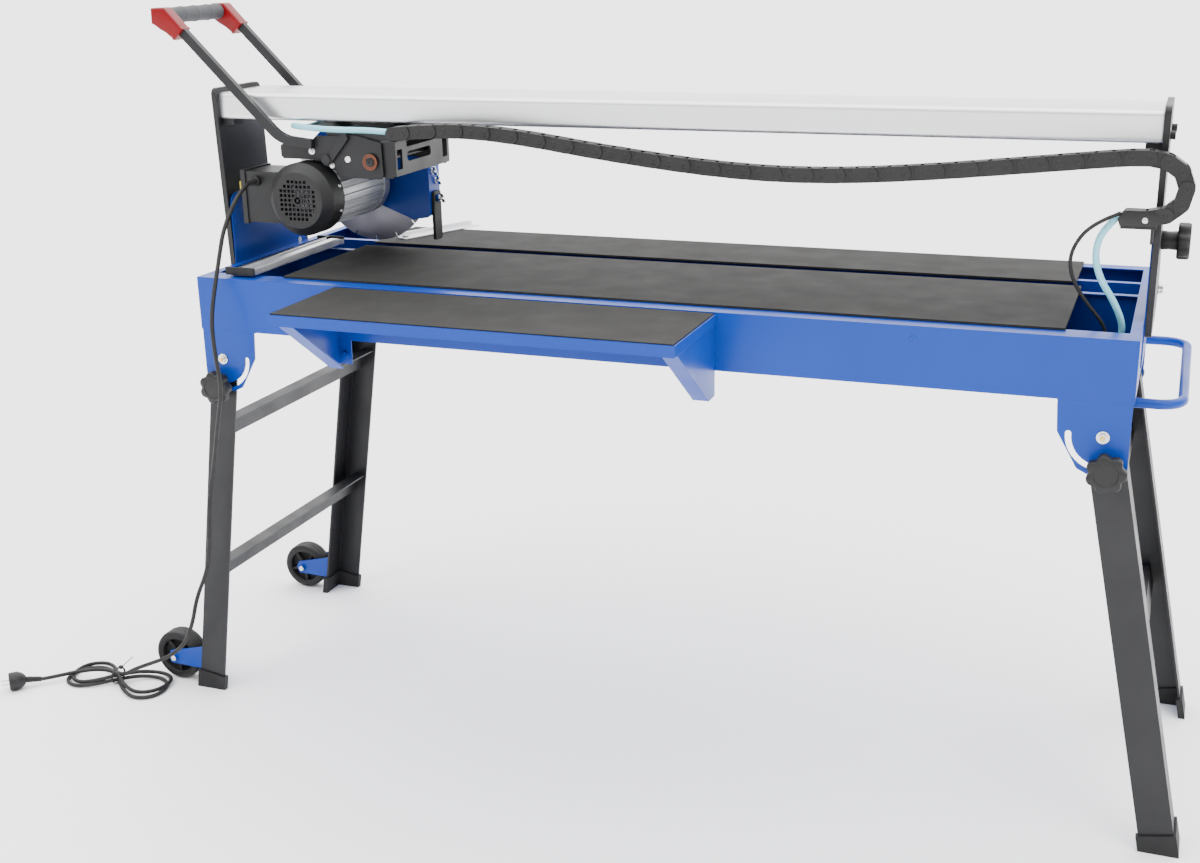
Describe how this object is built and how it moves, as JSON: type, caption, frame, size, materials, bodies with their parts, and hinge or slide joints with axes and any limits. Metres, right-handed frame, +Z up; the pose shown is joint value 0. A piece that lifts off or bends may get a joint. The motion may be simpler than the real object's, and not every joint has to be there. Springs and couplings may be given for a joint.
{
  "type": "wet tile saw",
  "caption": "Bridge wet tile saw on a folding wheeled stand, with tilting rail, sliding saw head, blade and motor, water tub, rubber table, side table and pump",
  "frame": {"origin": "on the floor under the middle of the saw's outline, cord left out", "axes": "+X along the cut towards the end without wheels, -Y towards the operator and the side table, +Z up"},
  "size_m": [2.2885, 0.8353, 1.352],
  "materials": {
    "blue_paint": "gloss powder coat",
    "black_paint": "satin powder coat",
    "rubber": "matt",
    "aluminium": "brushed",
    "steel": "brushed",
    "zinc": "bright zinc",
    "black_plastic": "matt",
    "red_plastic": "gloss",
    "grey_plastic": "matt",
    "green_plastic": "gloss",
    "cord_rubber": "matt",
    "hose_blue": "translucent",
    "wheel_rubber": "matt"
  },
  "bodies": {
    "stand": {"tub": "blue_paint", "front_table_plate": "black_paint", "rear_table_plate": "black_paint", "front_table_mat": "rubber", "rear_table_mat": "rubber", "leg_brackets": "blue_paint", "transport_handle": "blue_paint", "pivot_brackets": "blue_paint", "stand_pivot_pins": "zinc", "pump": "black_plastic", "power_cord_lower": "cord_rubber", "cord_hank": "cord_rubber", "power_plug": "cord_rubber"},
    "left_legs": {"left_leg_frame": "black_paint", "left_feet": "rubber", "wheel_forks": "blue_paint"},
    "right_legs": {"right_leg_frame": "black_paint", "right_feet": "rubber"},
    "front_wheel": {"front_wheel": "wheel_rubber"},
    "rear_wheel": {"rear_wheel": "wheel_rubber"},
    "left_front_leg_knob": {"left_front_leg_knob": "black_plastic"},
    "left_rear_leg_knob": {"left_rear_leg_knob": "black_plastic"},
    "right_front_leg_knob": {"right_front_leg_knob": "black_plastic"},
    "right_rear_leg_knob": {"right_rear_leg_knob": "black_plastic"},
    "side_table": {"side_table_tray": "blue_paint", "side_table_mat": "rubber", "side_table_brackets": "blue_paint"},
    "fence": {"fence_bar": "aluminium"},
    "angle_guide": {"angle_guide": "aluminium"},
    "bridge": {"beam": "aluminium", "left_end_plate": "black_paint", "right_end_plate": "black_paint", "beam_end_screws_and_stops": "zinc", "drag_chain": "black_plastic", "chain_bracket": "black_paint", "pump_hose": "hose_blue", "pump_cable": "cord_rubber", "power_cord_middle": "cord_rubber"},
    "left_tilt_knob": {"left_tilt_knob": "black_plastic"},
    "right_tilt_knob": {"right_tilt_knob": "black_plastic"},
    "carriage": {"carriage_frame": "black_paint"},
    "left_rollers": {"left_roller_set": "steel"},
    "right_rollers": {"right_roller_set": "steel"},
    "saw_head": {"head_bracket": "black_paint", "motor_housing": "aluminium", "fan_cover": "black_plastic", "switch_box": "black_plastic", "cable_gland": "black_plastic", "blade_guard": "blue_paint", "handle_arms": "black_paint", "handle_corners": "red_plastic", "handle_grip": "grey_plastic", "head_hose": "hose_blue", "power_cord_upper": "cord_rubber"},
    "rotor": {"rotor_shaft": "steel", "blade": "steel"},
    "splash_flap": {"splash_flap": "rubber"},
    "lock_lever": {"plunge_lock_lever": "black_paint"},
    "start_button": {"start_button": "green_plastic"},
    "stop_button": {"stop_button": "red_plastic"}
  },
  "joints": [
    {"name": "left_legs_fold", "type": "hinge", "parent": "stand", "child": "left_legs", "pos_m": [-0.763, 0.086, 0.712], "axis": [0, -1, 0], "range_deg": [0, 98.6]},
    {"name": "right_legs_fold", "type": "hinge", "parent": "stand", "child": "right_legs", "pos_m": [0.833, 0.086, 0.712], "axis": [0, 1, 0], "range_deg": [0, 101.3]},
    {"name": "front_wheel_spin", "type": "hinge", "parent": "left_legs", "child": "front_wheel", "pos_m": [-0.957, -0.165, 0.054], "axis": [0, 1, 0], "continuous": true},
    {"name": "rear_wheel_spin", "type": "hinge", "parent": "left_legs", "child": "rear_wheel", "pos_m": [-0.957, 0.337, 0.054], "axis": [0, 1, 0], "continuous": true},
    {"name": "left_front_knob_turn", "type": "hinge", "parent": "left_legs", "child": "left_front_leg_knob", "pos_m": [-0.77078, -0.214, 0.66058], "axis": [0, -1, 0], "continuous": true},
    {"name": "left_rear_knob_turn", "type": "hinge", "parent": "left_legs", "child": "left_rear_leg_knob", "pos_m": [-0.77078, 0.386, 0.66058], "axis": [0, 1, 0], "continuous": true},
    {"name": "right_front_knob_turn", "type": "hinge", "parent": "right_legs", "child": "right_front_leg_knob", "pos_m": [0.84319, -0.214, 0.66101], "axis": [0, -1, 0], "continuous": true},
    {"name": "right_rear_knob_turn", "type": "hinge", "parent": "right_legs", "child": "right_rear_leg_knob", "pos_m": [0.84319, 0.386, 0.66101], "axis": [0, 1, 0], "continuous": true},
    {"name": "side_table_slide", "type": "slide", "parent": "stand", "child": "side_table", "axis": [1, 0, 0], "range_m": [-0.15, 0.5]},
    {"name": "fence_slide", "type": "slide", "parent": "stand", "child": "fence", "axis": [1, 0, 0], "range_m": [0, 1.3]},
    {"name": "angle_guide_turn", "type": "hinge", "parent": "stand", "child": "angle_guide", "pos_m": [-0.593, 0.238, 0.875], "axis": [0, 0, 1], "range_deg": [-60, 20]},
    {"name": "bridge_tilt", "type": "hinge", "parent": "stand", "child": "bridge", "pos_m": [0.035, 0.17, 0.872], "axis": [-1, 0, 0], "range_deg": [0, 45], "deforming": ["power_cord_lower", "pump_hose", "pump_cable"]},
    {"name": "left_tilt_knob_turn", "type": "hinge", "parent": "stand", "child": "left_tilt_knob", "pos_m": [-0.835, 0.046, 0.978], "axis": [1, 0, 0], "continuous": true},
    {"name": "right_tilt_knob_turn", "type": "hinge", "parent": "stand", "child": "right_tilt_knob", "pos_m": [0.905, 0.046, 0.978], "axis": [1, 0, 0], "continuous": true},
    {"name": "carriage_travel", "type": "slide", "parent": "bridge", "child": "carriage", "axis": [1, 0, 0], "range_m": [0, 1.19], "deforming": ["drag_chain", "power_cord_middle"]},
    {"name": "left_rollers_spin", "type": "hinge", "parent": "carriage", "child": "left_rollers", "pos_m": [-0.59, 0.011, 1.1612], "axis": [0, 1, 0], "continuous": true},
    {"name": "right_rollers_spin", "type": "hinge", "parent": "carriage", "child": "right_rollers", "pos_m": [-0.465, 0.011, 1.1612], "axis": [0, 1, 0], "continuous": true},
    {"name": "head_plunge", "type": "hinge", "parent": "carriage", "child": "saw_head", "pos_m": [-0.483, 0.036, 1.077], "axis": [0, -1, 0], "range_deg": [0, 14], "deforming": ["power_cord_upper", "head_hose"]},
    {"name": "blade_spin", "type": "hinge", "parent": "saw_head", "child": "rotor", "pos_m": [-0.622, 0.086, 1.006], "axis": [0, 1, 0], "continuous": true},
    {"name": "splash_flap_swing", "type": "hinge", "parent": "saw_head", "child": "splash_flap", "pos_m": [-0.482, 0.17, 0.972], "axis": [1, 0, 0], "range_deg": [-25, 0]},
    {"name": "lock_lever_turn", "type": "hinge", "parent": "saw_head", "child": "lock_lever", "pos_m": [-0.573, -0.085, 1.079], "axis": [0, 1, 0], "range_deg": [-20, 25]},
    {"name": "start_button_press", "type": "slide", "parent": "saw_head", "child": "start_button", "axis": [1, 0, 0], "range_m": [0, 0.002], "stiffness_N_per_m": 300},
    {"name": "stop_button_press", "type": "slide", "parent": "saw_head", "child": "stop_button", "axis": [1, 0, 0], "range_m": [0, 0.003], "stiffness_N_per_m": 300}
  ],
  "couplings": [
    {"joint": "left_rollers_spin", "follows": "carriage_travel", "rad_per_m": 90.909},
    {"joint": "right_rollers_spin", "follows": "carriage_travel", "rad_per_m": 90.909}
  ]
}
